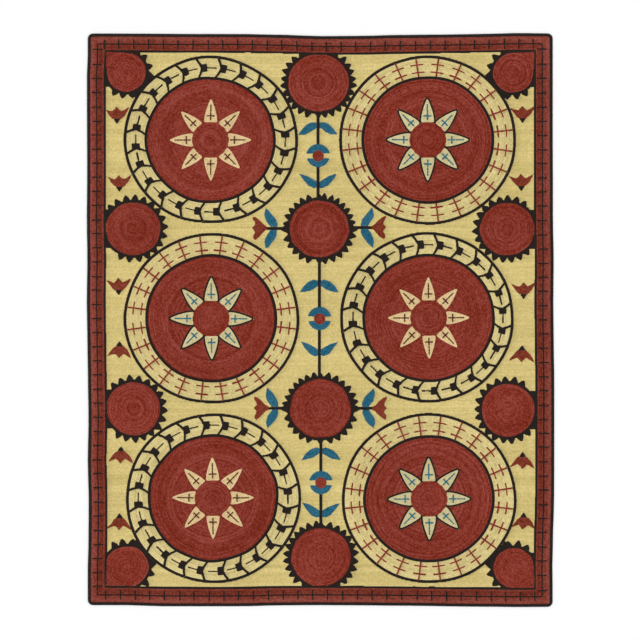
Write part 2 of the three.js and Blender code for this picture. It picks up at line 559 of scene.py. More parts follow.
def ribbon(spots, whole, tone, pitch, lift):
    # a row's mesh: a low arched bar with tapered ends, and its stitches' place in the stitch map
    count = len(spots)
    aside = directions(spots, whole)[1]
    after = np.roll(spots, -1, 0) - spots
    hops = np.hypot(*(after if whole else after[:-1]).T)
    along = np.r_[0, np.cumsum(hops)]
    start = chance.uniform(0, row["starts"])
    isEnd = np.zeros(count, bool)
    if not whole and count > 2:
        isEnd[[0, -1]] = True
    endFoot, endBack, endHeight = row["ends"]
    weave, weaveLength = row["weave"]
    ripple, rippleLength = row["ripple"]
    slip = weave * np.sin(along[:count] / weaveLength + start) * ~isEnd
    top = row["back"] + swell(spots) + lift + ripple * np.sin(along[:count] / rippleLength + 2 * start)
    foot = np.full(count, row["foot"])
    back = foot + (top - foot) * np.where(isEnd, endHeight, 1)
    halfFoot = pitch * row["footShare"] / 2 * np.where(isEnd, endFoot, 1)
    halfBack = pitch * row["backShare"] / 2 * np.where(isEnd, endBack, 1)
    spots = spots + aside * slip[:, None]
    section = ((halfFoot, foot), (halfBack, back), (-halfBack, back), (-halfFoot, foot))
    ring = [np.column_stack([spots + aside * width[:, None], height]) for width, height in section]
    verts = np.stack(ring, 1).reshape(-1, 3)

    segments = count if whole else count - 1
    first = np.arange(segments) * 4
    second = (first + 4) % (count * 4)
    begin = start + along[:segments] / row["stitch"]
    finish = start + along[1:segments + 1] / row["stitch"]
    quads, stitchMap, hidden = [], [], []
    for side in range(4):
        last = (side + 1) % 4
        quads.append(np.stack([first + side, first + last, second + last, second + side], 1))
        corners = ((begin, side), (begin, last), (finish, last), (finish, side))
        places = [np.column_stack([u, np.full(segments, row["across"][v])]) for u, v in corners]
        stitchMap.append(np.stack(places, 1))
        hidden.append(np.full(segments, side == 3))
    if not whole:
        end = (count - 1) * 4
        quads.append(np.array([[0, 3, 2, 1], [end, end + 1, end + 2, end + 3]]))
        # the two small ends
        cap = [[start, share] for share in (0.2, 0.8, 0.6, 0.4)]
        stitchMap.append(np.array([cap, cap]))
        hidden.append(np.array([False, False]))
    tones = np.full(len(verts), tone)
    return verts, np.concatenate(quads), np.concatenate(stitchMap), np.concatenate(hidden), tones


bakeArea = {"seen": (0.022, 0.97), "hidden": (0.002, 0.016)}     # start and size in the map's square


def bakeMap(flat, hidden):
    # the OFBake map: the piece seen from above, over nearly the whole square, its underside in one corner
    low, high = flat.reshape(-1, 2).min(0), flat.reshape(-1, 2).max(0)
    spread = (flat - low) / np.maximum(high - low, 1e-9)
    mapped = bakeArea["seen"][0] + spread * bakeArea["seen"][1]
    mapped[hidden] = bakeArea["hidden"][0] + spread[hidden] * bakeArea["hidden"][1]
    return mapped


def meshFrom(name, verts, quads, stitchMap, hidden, tones, bake=None):
    mesh = bpy.data.meshes.new(name)
    mesh.vertices.add(len(verts))
    mesh.vertices.foreach_set("co", (verts * mm).astype(np.float32).ravel())
    mesh.loops.add(quads.size)
    mesh.loops.foreach_set("vertex_index", quads.astype(np.int32).ravel())
    mesh.polygons.add(len(quads))
    mesh.polygons.foreach_set("loop_start", np.arange(len(quads), dtype=np.int32) * 4)
    mesh.polygons.foreach_set("use_smooth", np.ones(len(quads), bool))
    if bake is None:
        bake = bakeMap(verts[quads][:, :, :2], hidden)
    for title, values in (("OFBake", bake), ("stitch", stitchMap)):
        layer = mesh.uv_layers.new(name=title)
        layer.data.foreach_set("uv", values.astype(np.float32).ravel())
    rowTone = mesh.attributes.new("rowTone", "FLOAT", "POINT")
    rowTone.data.foreach_set("value", tones.astype(np.float32))
    mesh.update(calc_edges=True)
    mesh.validate()
    piece = bpy.data.objects.new(name, mesh)
    bpy.context.scene.collection.objects.link(piece)
    return piece


def makeRows(name, material):
    # joins all rows of one piece into its mesh
    parts = [ribbon(*item) for item in woolRows[name]]
    verts, quads, stitchMap, hidden, tones = zip(*parts)
    starts = np.cumsum([0] + [len(part) for part in verts[:-1]])
    quads = [part + start for part, start in zip(quads, starts)]
    piece = meshFrom(name, *[np.concatenate(item) for item in (verts, quads, stitchMap, hidden, tones)])
    piece.data.materials.append(material)
    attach(piece, "root")
    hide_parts("stitched_cloth")
    print(f"{name}: {len(parts)} rows, {2 * len(piece.data.polygons)} triangles")
    return piece


# materials

def linear(hexColour):
    parts = [int(hexColour[place:place + 2], 16) / 255 for place in (1, 3, 5)]
    return [part / 12.92 if part <= 0.04045 else ((part + 0.055) / 1.055) ** 2.4 for part in parts] + [1.0]


def addNode(tree, kind, inputs=(), **settings):
    # inputs go by number or name; each is a plain value, a node, or one of its outputs as (node, output)
    made = tree.nodes.new("ShaderNode" + kind)
    for name, value in settings.items():
        setattr(made, name, value)
    for socket, value in (inputs.items() if isinstance(inputs, dict) else enumerate(inputs)):
        source = (value, 0) if hasattr(value, "outputs") else value
        if isinstance(source, tuple):
            tree.links.new(source[0].outputs[source[1]], made.inputs[socket])
        else:
            made.inputs[socket].default_value = source
    return made


def startMaterial(name, roughness, sheen):
    # fibres and matt paint alike: next to no gloss
    material = bpy.data.materials.new(name)
    material.use_nodes = True
    tree = material.node_tree
    surface = tree.nodes["Principled BSDF"]
    surface.inputs["Roughness"].default_value = roughness
    surface.inputs["Sheen Weight"].default_value = sheen
    surface.inputs["Sheen Roughness"].default_value = 0.6
    surface.inputs["Specular IOR Level"].default_value = 0.1
    surface.inputs["IOR"].default_value = 1.54
    return material, tree, surface


def woolPlaces(tree):
    # a point's place along and across its stitch, its row's tone, and its place on the rug
    stitch = addNode(tree, "UVMap", uv_map="stitch")
    parts = addNode(tree, "SeparateXYZ", [stitch])
    tone = addNode(tree, "Attribute", attribute_name="rowTone")
    place = addNode(tree, "TexCoord")
    return (parts, "X"), (parts, "Y"), (tone, "Fac"), (place, "Object")


def archOver(tree, along):
    # rises and falls again once in each unit
    phase = addNode(tree, "Math", [along], operation="FRACT")
    turn = addNode(tree, "Math", [phase, math.pi], operation="MULTIPLY")
    return addNode(tree, "Math", [turn], operation="SINE")


chainLook = {
    "lean": 1.1,               # stitches that a loop's sides run back from its tip
    "plump": 0.6,              # the lower, the fuller a loop's back
    "cleft": (0.12, 0.55),     # half the width of the V's cleft, in rows, and how high its bottom is
    "fibres": (2.5, 11.0),     # to a stitch along it, and to a row across it
    "fibreRelief": 0.35,
    "relief": 1.1,             # mm
    "streaks": 0.05,           # to a stitch, so one is about 150 mm long
    "patches": 4.0,            # to a metre, so one is about 250 mm across
    "paintedShade": (0.70, 1.07),     # painted shade down in the clefts, and a painted highlight on top
    "roughness": (0.86, 0.98),
    "darkest": 0.35,
}


def chainStitchWool(name, yarn, dyeSpread, rowSpread, streakSpread, stitchSpread, fuzzAndSheenFade=0.1):
    # Two-ply wool, hook-worked in chain stitch: each loop leans into the next one and makes a V, and
    # the fibres scatter the light, so it looks matt and a little downy. Hand-dyed hanks differ, which
    # gives streaks along the rows and slow patches across them.
    look = chainLook
    material, tree, surface = startMaterial(name, 0.93, 0.06)
    alongStitch, acrossStitch, rowTone, place = woolPlaces(tree)

    # the V: a loop's two sides run back from its tip
    offset = addNode(tree, "Math", [acrossStitch, 0.5], operation="SUBTRACT")
    fromMiddle = addNode(tree, "Math", [offset], operation="ABSOLUTE")
    loop = addNode(tree, "Math", [fromMiddle, look["lean"], alongStitch], operation="MULTIPLY_ADD")
    plump = addNode(tree, "Math", [archOver(tree, loop), look["plump"]], operation="POWER")
    cleft = addNode(tree, "MapRange", [fromMiddle, 0.0, *look["cleft"], 1.0], interpolation_type="SMOOTHSTEP")
    height = addNode(tree, "Math", [plump, cleft], operation="MULTIPLY")

    # Fibres run along each side of a loop, about 0.6 mm apart. Real ones are 0.03 mm thick and would
    # not show, so these are drawn far coarser. Each row has a slice of the noise of its own.
    fibreX = addNode(tree, "Math", [loop, look["fibres"][0]], operation="MULTIPLY")
    fibreY = addNode(tree, "Math", [acrossStitch, look["fibres"][1]], operation="MULTIPLY")
    fibreZ = addNode(tree, "Math", [rowTone, 31.0], operation="MULTIPLY")
    fibrePlace = addNode(tree, "CombineXYZ", [fibreX, fibreY, fibreZ])
    fibre = addNode(tree, "TexNoise", {"Vector": fibrePlace, "Scale": 1.0, "Detail": 3.0, "Roughness": 0.7})
    relief = addNode(tree, "Math", [fibre, look["fibreRelief"], height], operation="MULTIPLY_ADD")
    bump = addNode(tree, "Bump", {"Strength": 0.7, "Distance": look["relief"] * mm, "Height": relief})
    tree.links.new(bump.outputs[0], surface.inputs["Normal"])

    # tone: the row's own, and on it streaks along the row, patches across rows, and single stitches
    streakX = addNode(tree, "Math", [alongStitch, look["streaks"]], operation="MULTIPLY")
    streakY = addNode(tree, "Math", [rowTone, 57.0], operation="MULTIPLY")
    streakPlace = addNode(tree, "CombineXYZ", [streakX, streakY])
    streak = addNode(tree, "TexNoise", {"Vector": streakPlace, "Scale": 1.0, "Detail": 2.0})
    patch = addNode(tree, "TexNoise", {"Vector": place, "Scale": look["patches"], "Detail": 2.0})
    number = addNode(tree, "Math", [loop], operation="FLOOR")
    numberPlace = addNode(tree, "CombineXYZ", [number, rowTone])
    single = addNode(tree, "TexWhiteNoise", {"Vector": numberPlace}, noise_dimensions="2D")
    total = addNode(tree, "Math", [rowTone, rowSpread], operation="MULTIPLY")
    spreads = ((streak, streakSpread * 3), (patch, dyeSpread * 3), ((single, "Value"), stitchSpread * 2))
    for source, spread in spreads:
        centred = addNode(tree, "Math", [source, 0.5], operation="SUBTRACT")
        total = addNode(tree, "Math", [centred, spread, total], operation="MULTIPLY_ADD")
    brighter = addNode(tree, "Math", [total, 1.0], operation="ADD")
    level = addNode(tree, "Math", [brighter, look["darkest"]], operation="MAXIMUM")
    # painted shade: darker down in the clefts and hollows of the relief, with a painted highlight on the
    # loops' tops
    paintedShade = addNode(tree, "MapRange", [relief, 0.1, 1.1, *look["paintedShade"]])
    bright = addNode(tree, "Math", [level, paintedShade], operation="MULTIPLY")
    # paler stitches are also less saturated: partly the fuzz's own pale fibres, partly painted sheen where
    # the fuzz catches the light
    dull = addNode(tree, "Math", [total, -fuzzAndSheenFade, 1.0], operation="MULTIPLY_ADD")
    colour = addNode(tree, "HueSaturation", {"Saturation": dull, "Value": bright, "Color": linear(yarn)})
    tree.links.new(colour.outputs[0], surface.inputs["Base Color"])
    rough = addNode(tree, "MapRange", [fibre, 0.3, 0.7, *look["roughness"]])
    tree.links.new(rough.outputs[0], surface.inputs["Roughness"])
    return material


def cottonCanvas(name, warpColour, weftColour):
    # Plain-woven unbleached cotton: threads over and under each other, 1.2 mm apart, slubs and all.
    # It is drawn at 2.4 mm, twice as coarse, because it shows only underneath and in far views.
    material, tree, surface = startMaterial(name, 0.9, 0.05)
    threads = math.pi / (2.4 * mm)
    place = addNode(tree, "TexCoord")
    spot = addNode(tree, "SeparateXYZ", [(place, "Object")])
    acrossTurn = addNode(tree, "Math", [(spot, "X"), threads], operation="MULTIPLY")
    alongTurn = addNode(tree, "Math", [(spot, "Y"), threads], operation="MULTIPLY")
    acrossWave = addNode(tree, "Math", [acrossTurn], operation="SINE")
    alongWave = addNode(tree, "Math", [alongTurn], operation="SINE")
    over = addNode(tree, "Math", [acrossWave, alongWave], operation="MULTIPLY")
    slub = addNode(tree, "TexNoise", {"Vector": (place, "Object"), "Scale": 60.0, "Detail": 4.0})
    share = addNode(tree, "MapRange", [over, -1.0, 1.0])
    colours = {"Factor": share, 6: linear(warpColour), 7: linear(weftColour)}
    threadsMixed = addNode(tree, "Mix", colours, data_type="RGBA")
    bright = addNode(tree, "MapRange", [slub, 0.3, 0.7, 0.86, 1.06])
    colour = addNode(tree, "HueSaturation", {"Value": bright, "Color": (threadsMixed, 2)})
    tree.links.new(colour.outputs[0], surface.inputs["Base Color"])
    raised = addNode(tree, "Math", [over], operation="ABSOLUTE")
    relief = addNode(tree, "Math", [raised, slub], operation="ADD")
    bump = addNode(tree, "Bump", {"Strength": 0.6, "Distance": 0.4 * mm, "Height": relief})
    tree.links.new(bump.outputs[0], surface.inputs["Normal"])
    return material


def overcastWool(name, yarn):
    # The same wool as the black rows, laid over the edge in plain loops: two plies twisted together.
    # Its fibres are drawn about 1 mm long, coarse enough to show.
    material, tree, surface = startMaterial(name, 0.93, 0.06)
    alongYarn, acrossYarn, tone, place = woolPlaces(tree)
    twist = addNode(tree, "Math", [acrossYarn, 1.3, alongYarn], operation="MULTIPLY_ADD")
    ply = archOver(tree, twist)
    fibre = addNode(tree, "TexNoise", {"Vector": place, "Scale": 900.0, "Detail": 2.0, "Roughness": 0.7})
    relief = addNode(tree, "Math", [fibre, 0.5, ply], operation="MULTIPLY_ADD")
    bump = addNode(tree, "Bump", {"Strength": 0.6, "Distance": 0.7 * mm, "Height": relief})
    tree.links.new(bump.outputs[0], surface.inputs["Normal"])
    # painted shade in the hollows between the plies, and a painted highlight on their crowns
    paintedShade = addNode(tree, "MapRange", [relief, 0.1, 1.3, 0.7, 1.1])
    grey = addNode(tree, "Math", [tone, 0.08, 1.0], operation="MULTIPLY_ADD")
    bright = addNode(tree, "Math", [grey, paintedShade], operation="MULTIPLY")
    colour = addNode(tree, "HueSaturation", {"Value": bright, "Color": linear(yarn)})
    tree.links.new(colour.outputs[0], surface.inputs["Base Color"])
    return material


def paintedFloor(name, paint):
    # A studio floor under white matt paint: rolled on, so it is very slightly uneven.
    material, tree, surface = startMaterial(name, 0.9, 0.0)
    place = addNode(tree, "TexCoord")
    cloud = addNode(tree, "TexNoise", {"Vector": (place, "Object"), "Scale": 3.0, "Detail": 3.0})
    bright = addNode(tree, "MapRange", [cloud, 0.3, 0.7, 0.995, 1.0])
    colour = addNode(tree, "HueSaturation", {"Value": bright, "Color": linear(paint)})
    tree.links.new(colour.outputs[0], surface.inputs["Base Color"])
    return material


wools = {
    # yarn colour, then the spread of tone by patch, row, streak and stitch, and how far pale stitches fade:
    # their own pale fuzz, with painted sheen
    "straw": chainStitchWool("straw_yellow_wool", "#dcc984", 0.05, 0.05, 0.06, 0.11, 0.3),
    "brick": chainStitchWool("brick_red_wool", "#8e3424", 0.12, 0.115, 0.17, 0.28, 0.25),
    "rust": chainStitchWool("rust_red_wool", "#84351f", 0.12, 0.115, 0.17, 0.28, 0.25),
    "borderBrick": chainStitchWool("madder_red_wool", "#883a2b", 0.10, 0.14, 0.13, 0.28, 0.25),
    "cream": chainStitchWool("cream_wool", "#dccb8d", 0.05, 0.06, 0.06, 0.14, 0.3),
    "warmCream": chainStitchWool("warm_cream_wool", "#e3c895", 0.06, 0.06, 0.06, 0.14, 0.3),
    "paleCream": chainStitchWool("pale_cream_wool", "#d6c998", 0.06, 0.06, 0.06, 0.14, 0.3),
    "black": chainStitchWool("black_wool", "#241b16", 0.08, 0.10, 0.08, 0.20),
    "blue": chainStitchWool("indigo_blue_wool", "#27677f", 0.10, 0.10, 0.08, 0.22, 0.4),
    "shaft": chainStitchWool("brown_wool", "#55260f", 0.06, 0.08, 0.08, 0.15),
    "teal": chainStitchWool("teal_wool", "#1c6c7e", 0.10, 0.08, 0.08, 0.15),
}
# the canvas's tan is darker than unbleached cotton: its own colour underneath, and painted shade where it
# shows between the rows
canvasMaterial = cottonCanvas("cotton_canvas_and_painted_shade", "#b09a70", "#9f8a62")
edgeMaterial = overcastWool("black_overcast_wool", "#241b16")
floorMaterial = paintedFloor("white_matt_floor", "#f6f6f6")
print("materials made")


def makeFloor():
    selectNone()
    bpy.ops.mesh.primitive_plane_add(size=studio["floorSize"], location=(0, 0, 0))
    floor = bpy.context.object
    floor.name = "studio_floor"
    bpy.ops.object.mode_set(mode="EDIT")
    bpy.ops.mesh.subdivide(number_cuts=studio["floorCuts"])
    bpy.ops.object.mode_set(mode="OBJECT")
    floor.data.materials.append(floorMaterial)


makeFloor()
print("floor made")


# the pattern's tables
border = {
    # each side: distance in of the comb's spine and of the inner line, then its teeth's places
    "left": {"spine": 51, "line": 93, "firstTick": 1413.8, "tickPitch": -74.0, "ticks": 39},
    "right": {"spine": 56, "line": 94, "firstTick": 1414.9, "tickPitch": -74.4, "ticks": 39},
    "top": {"spine": 56, "line": 93, "firstTick": -1135.7, "tickPitch": 77.7, "ticks": 30},
    "bottom": {"spine": 55, "line": 97, "firstTick": -1129.3, "tickPitch": 77.8, "ticks": 30},
    "tickLength": 55,
    "tickStray": 2,            # from its place, and at its ends
    "tickSkew": 1.5,
    "spineWidth": 6.8,
    "lineWidth": 11.4,
    "tickWidth": 8.0,
    "mitre": (18, 94),         # distances in, at a corner
    "mitreRow": 9.0,           # width of the padding row there
    "edgeRow": 13.6,           # a black row just inside the binding
}
sides = ("left", "right", "top", "bottom")

medallions = [
    # disc and ring: middle and half-axes of their dark outlines; turn: where the first mark stands
    {"name": "top_left", "kind": "leaves", "disc": (-578, 945), "discSize": (337, 325),
     "ring": (-576, 945), "ringSize": (450, 432), "turn": 10.25},
    {"name": "top_right", "kind": "combs", "disc": (562, 945), "discSize": (341, 328),
     "ring": (561, 944), "ringSize": (457, 436), "turn": 7.6},
    {"name": "middle_left", "kind": "combs", "disc": (-574.5, 8.5), "discSize": (339, 330),
     "ring": (-572, 9), "ringSize": (453, 440), "turn": 7.5},
    {"name": "middle_right", "kind": "leaves", "disc": (566.5, 11), "discSize": (341, 329.5),
     "ring": (558.5, 13.5), "ringSize": (448, 440), "turn": 9.9},
    {"name": "bottom_left", "kind": "leaves", "disc": (-564, -933.5), "discSize": (335.5, 330),
     "ring": (-564, -934), "ringSize": (451, 438.5), "turn": 9.6},
    {"name": "bottom_right", "kind": "combs", "disc": (569, -937), "discSize": (337, 328),
     "ring": (569, -935), "ringSize": (450, 439), "turn": 7.6},
]
medallion = {
    "outline": 14.6,           # width of the dark outlines
    "discWaves": 1.3,          # how far they stray
    "ringWaves": 1.8,
    "marks": 24,
    "markTurn": 0.5,           # degrees that a mark strays
    "heart": (96.5, 94),       # the red disc in the star's middle
    "petals": 8,
    "petalTurn": 1.2,
    "petalHalf": [(93, 34), (112, 33.5), (131, 30.5), (153, 25), (175, 18), (195, 10.5), (208, 5), (215, 0)],
    "petalLine": 8.6,
    "shaft": (102, 188),
    "shaftEnd": (-6, 4),       # how much sooner or later it ends
    "shaftTick": (126, 22),    # how far out it is, and half its length
    "shaftWidth": 8.6,
    "barWidth": 9.0,
    "armWidth": 6.4,
}
chevron = {
    # distances along the band, and shares of the way across it from its middle or its inner side
    "radius": 0.88,            # of the ring's, where a distance along the band is measured
    "armStart": (32, 37),      # how far behind the outer arm and the inner one start
    "armSpread": 0.48,
    "arm": [(20, 0.25), (12, 0.04)],
    "armRows": (-3.8, 0, 3.8),
    "armHalf": 5.2,
    "blockHalf": 17,
    "block": [(-1, 0.30), (0.9, 0.31), (1, 0.5), (0.9, 0.69), (-1, 0.70)],
    "shaft": (16, 66),
}
comb = {
    "bar": (0.03, 0.97),       # from and to, across the band
    "ticks": [(0.64, 0.914), (0.26, 0.82)],      # across the band, and the radius there
    "tickHalf": 34,
    "tickPoints": 4,
}

suns = [
    # teeth: first angle, step and count, clockwise from straight up
    {"middle": (-11, 1245), "size": (160, 151), "teeth": [(46, 12.3, 11), (199, 13.0, 10)], "side": "top"},
    {"middle": (-7, 478), "size": (155.5, 149), "teeth": [(8.5, 11.8, 7), (102.5, 13.4, 6), (198, 13.5, 5),
                                                           (279.5, 12.4, 6)], "side": None},
    {"middle": (-1, -464), "size": (161, 153), "teeth": [(13.5, 13.1, 6), (109, 13.5, 5), (199.5, 13.4, 5),
                                                           (278, 12.0, 7)], "side": None},
    {"middle": (2, -1243), "size": (158, 151), "teeth": [(14.5, 13.6, 10), (226, 12.6, 11)],
     "side": "bottom"},
    {"middle": (-983, 479), "size": (143, 138), "teeth": [(-46.5, 16.6, 16)], "side": "left"},
    {"middle": (-981, -465), "size": (140.5, 138), "teeth": [(-40, 16.7, 16)], "side": "left"},
    {"middle": (979, 477), "size": (142.5, 138), "teeth": [(140.5, 15.75, 17)], "side": "right"},
    {"middle": (983, -472), "size": (139, 138), "teeth": [(139.5, 16.6, 16)], "side": "right"},
    {"middle": (-1018, 1299), "size": (102, 101), "corner": (-1, 1), "medallion": 0},
    {"middle": (1009, 1297), "size": (105, 103), "corner": (1, 1), "medallion": 1},
    {"middle": (-1016, -1294), "size": (112, 109), "corner": (-1, -1), "medallion": 4},
    {"middle": (1013, -1300), "size": (106, 105), "corner": (1, -1), "medallion": 5},
]
stemFlare, stalkFlare = (17, 20), (23, 34)      # half-width on the ring, then reach
sun = {
    "waves": 1.2,              # how far the outline strays
    "ringWidth": 14.5,
    "toothFoot": 9,            # distances out from the red disc
    "toothTip": 39,
    # shares of a tooth's length, and of its width there
    "toothShape": [(0, 1), (0.35, 0.84), (0.62, 0.59), (0.84, 0.35), (0.96, 0.2), (1, 0.1)],
    "toothWidest": 39,
    "toothShare": 0.97,        # of the way to the next tooth
    "toothTurn": 0.8,          # degrees that a tooth strays
    "toothStray": 3,           # how much longer or shorter it is
    "toothGrow": 0.8,          # its rows stand this far over its zone, to close up with the filling
    "footHalf": 102,           # half the width of the black foot where a sun meets the border
    "flareTuck": 3,            # how far a flare's foot lies under the ring's outer side
    "flareSide": 6,            # depth of its foot, and half the width of its tip
    "flares": {
        0: [(180, *stemFlare)],
        1: [(0, *stemFlare), (180, *stemFlare), (90, *stalkFlare), (270, *stalkFlare)],
        2: [(0, *stemFlare), (180, *stemFlare), (90, *stalkFlare), (270, *stalkFlare)],
        3: [(0, *stemFlare)],
    },
}
cornerSun = {
    "teeth": (80, 54, -38, -61, -82),      # degrees off the way to the medallion, towards the rug's end
    "toothStep": 21.5,
    "foot": (184, 12),         # how far its black feet run along the border, and how deep they end
    "footMeets": (0.80, 0.62),             # of the disc's half-axes, where a foot comes back to the disc
    "wedge": [(-45, 1.12), (-30, 1.5), (0, 1.75), (30, 1.5), (45, 1.12)],     # degrees, and share of the disc
    "rings": 1.55,             # its rings go on so far out, to fill the drop's point
    "underRow": (2, -0.6),     # how far in the row under their ends runs, and how much lower
}

stem = {
    "width": 14.5,
    "runs": [(-13, 1100, 640), (-6.5, 330, -300), (1.5, -610, -1085)],
    "droop": [(-13, 1029), (-6.5, 202), (1.5, -677)],
    "rise": [(-13, 703), (-6.5, -178), (1.5, -1023)],
    "roundels": [(-13, 861), (-5, 7), (1.6, -853)],
    "droopLeaf": [(0, 5), (-28, 9), (-55, 0), (-79, -22), (-103, -57), (-63, -51), (-38, -42), (-18, -27),
                  (0, -19)],
    "riseLeaf": [(0, 18), (-27, 37), (-58, 52), (-99, 65), (-76, 32), (-49, 1), (-23, -11), (0, -7)],
    "roundel": {"top": 62, "bottom": 59, "chord": 12.5, "dot": 29, "points": 24},
}

sideTulip = {
    # pointing left from a sun's middle, and mirrored for the right
    "rise": {1: (3, 7), 2: (1, 1)},        # sun -> how high the left one and the right one stand
    "stalk": (-165, -282),
    "head": [(-275, 8), (-290, 18), (-310, 40), (-330, 55), (-348, 63), (-348, 48), (-338, 35), (-334, 20),
             (-350, 2), (-336, -14), (-334, -20), (-343, -34), (-345, -48), (-338, -61), (-316, -46),
             (-300, -29), (-287, -13), (-275, -8)],
    "leaf": [(-222, 4), (-220, 22), (-225, 41), (-236, 61), (-253, 80), (-267, 94), (-280, 108), (-282, 94),
             (-285, 75), (-283, 56), (-276, 39), (-265, 24), (-251, 4)],
}

marginTulip = {
    "opensUp": [(-1070, 1080), (-1057, 724), (-1061, 182), (1057, 1084), (1050, 728), (1062, 161)],
    "opensDown": [(-1057, -162), (-1049, -713), (-1057, -1064), (1054, -183), (1057, -742), (1062, -1060)],
    "head": [(-68, 31), (-44, 20), (-22, 14), (-10, 25), (0, 39), (11, 26), (24, 15), (43, 25), (67, 39),
             (56, 16), (44, -5), (29, -20), (19, -28), (-14, -28), (-27, -18), (-42, 0), (-54, 16)],
    "tip": [(-16, -25), (20, -25), (12, -38), (3, -52), (-7, -39)],
}


# the zone map, back to front

def wobble(reach):
    return chance.uniform(-reach, reach)


def byHand(shape, spread=1.3):
    # the same shape a little differently drawn each time
    return np.asarray(shape, float) + chance.normal(0, spread, (len(shape), 2))


def move(shape, spot, flipX=1, flipY=1):
    return np.asarray(shape, float) * (flipX, flipY) + spot


def pastBorder(insets):
    # for each cell of the map, how far it lies past a line that runs round the rug at these insets
    x, y = cellMiddle(np.arange(cellsY), np.arange(cellsX))
    left = (x[None, :] + halfWidth + np.interp(y, *edgeOut["left"])[:, None]) - insets[0]
    right = (halfWidth + np.interp(y, *edgeOut["right"])[:, None] - x[None, :]) - insets[1]
    top = (halfLength + np.interp(x, *edgeOut["top"])[None, :] - y[:, None]) - insets[2]
    bottom = (y[:, None] + halfLength + np.interp(x, *edgeOut["bottom"])[None, :]) - insets[3]
    return np.minimum(np.minimum(left, right), np.minimum(top, bottom))


def drawStem():
    lines, leaves, dots, halves = [], [], [], []
    for x, high, low in stem["runs"]:
        lines.append([(x, high), (x, low)])
    for spots, shape in ((stem["droop"], stem["droopLeaf"]), (stem["rise"], stem["riseLeaf"])):
        for spot in spots:
            leaves += [move(byHand(shape), spot, flip) for flip in (1, -1)]
    size = stem["roundel"]
    for spot in stem["roundels"]:
        for sign, reach in ((1, size["top"]), (-1, size["bottom"])):
            start = math.asin(size["chord"] / reach)
            turn = np.linspace(start, math.pi - start, size["points"])
            halves.append(move(np.stack([np.cos(turn), np.sin(turn)], 1) * reach, spot, 1, sign))
        dots.append((spot, (size["dot"], size["dot"])))
    return lines, leaves, halves, dots


def drawSideTulips():
    stalks, heads, leaves = [], [], []
    for place, rises in sideTulip["rise"].items():
        for side, rise in zip((1, -1), rises):
            spot = np.add(suns[place]["middle"], (0, rise))
            stalks.append([(spot[0] + side * far, spot[1]) for far in sideTulip["stalk"]])
            heads.append(move(byHand(sideTulip["head"]), spot, side))
            leaves += [move(byHand(sideTulip["leaf"]), spot, side, flip) for flip in (1, -1)]
    return stalks, heads, leaves


def drawMarginTulips():
    heads, tips = [], []
    for sign, spots in ((1, marginTulip["opensUp"]), (-1, marginTulip["opensDown"])):
        for spot in spots:
            heads.append(move(byHand(marginTulip["head"]), spot, 1, sign))
            tips.append(move(marginTulip["tip"], spot, 1, sign))
    return heads, tips


def borderCorner(item):
    # where the border's inner lines meet, beside a corner sun
    signX, signY = item["corner"]
    lineX = border["left" if signX < 0 else "right"]["line"]
    lineY = border["top" if signY > 0 else "bottom"]["line"]
    return np.array([signX * (halfWidth - lineX), signY * (halfLength - lineY)])


def wayToMedallion(item):
    # from a corner sun, in degrees clockwise from straight up
    return math.degrees(math.atan2(*np.subtract(medallions[item["medallion"]]["ring"], item["middle"])))


def sunOutline(item, grow=0.0):
    # a circle, drawn out to a point towards the corner in the four corner suns
    centre = np.array(item["middle"], float)
    radii = np.array(item["size"], float) + grow
    spots = ellipse(centre, radii, item["waves"])
    if "corner" not in item:
        return spots
    tip = borderCorner(item)
    toTip = tip - centre
    reach = np.hypot(*toTip)
    heading = math.atan2(toTip[1], toTip[0])
    touch = math.acos(min(radii[0] / reach, 0.999))
    turn = np.arctan2(spots[:, 1] - centre[1], spots[:, 0] - centre[0])
    off = np.angle(np.exp(1j * (turn - heading)))
    kept = spots[np.abs(off) > touch]
    order = np.argsort(np.mod(off[np.abs(off) > touch], 2 * np.pi))
    return np.vstack([kept[order], tip + toTip / reach * grow])


def sunTeeth(item):
    centre, size = np.array(item["middle"], float), np.array(item["size"], float)
    if "corner" in item:
        hand = item["corner"][0] * item["corner"][1]
        angles = [(wayToMedallion(item) + hand * turn, cornerSun["toothStep"]) for turn in cornerSun["teeth"]]
    else:
        angles = [(first + step * place, step) for first, step, count in item["teeth"]
                  for place in range(count)]
    teeth = []
    for degrees, step in angles:
        degrees += wobble(sun["toothTurn"])
        tip = clockPoint(centre, size + sun["toothTip"] + wobble(sun["toothStray"]), degrees)
        foot = clockPoint(centre, size + sun["toothFoot"], degrees)
        out = (tip - foot) / np.hypot(*(tip - foot))
        toNext = math.radians(step) * (size.mean() + sun["ringWidth"])
        width = min(sun["toothShare"] * toNext, sun["toothWidest"])
        aside = np.array([out[1], -out[0]]) * width / 2
        right = [foot + aside * wide + (tip - foot) * far for far, wide in sun["toothShape"]]
        left = [foot - aside * wide + (tip - foot) * far for far, wide in sun["toothShape"]]
        teeth.append(np.array(right + left[::-1]))
    return teeth


def sunFlares(place):
    # the black wedges where the stem and the stalks meet a sun's ring
    centre = np.array(suns[place]["middle"], float)
    size = np.array(suns[place]["size"], float) + sun["ringWidth"] - sun["flareTuck"]
    slim = sun["flareSide"]
    flares = []
    for degrees, half, reach in sun["flares"][place]:
        foot = clockPoint(centre, size, degrees)
        out = (foot - centre) / np.hypot(*(foot - centre))
        aside = np.array([out[1], -out[0]])
        tip = foot + out * reach
        flares.append(np.array([foot + aside * half - out * slim, foot + aside * half, tip + aside * slim,
                                tip - aside * slim, foot - aside * half, foot - aside * half - out * slim]))
    return flares


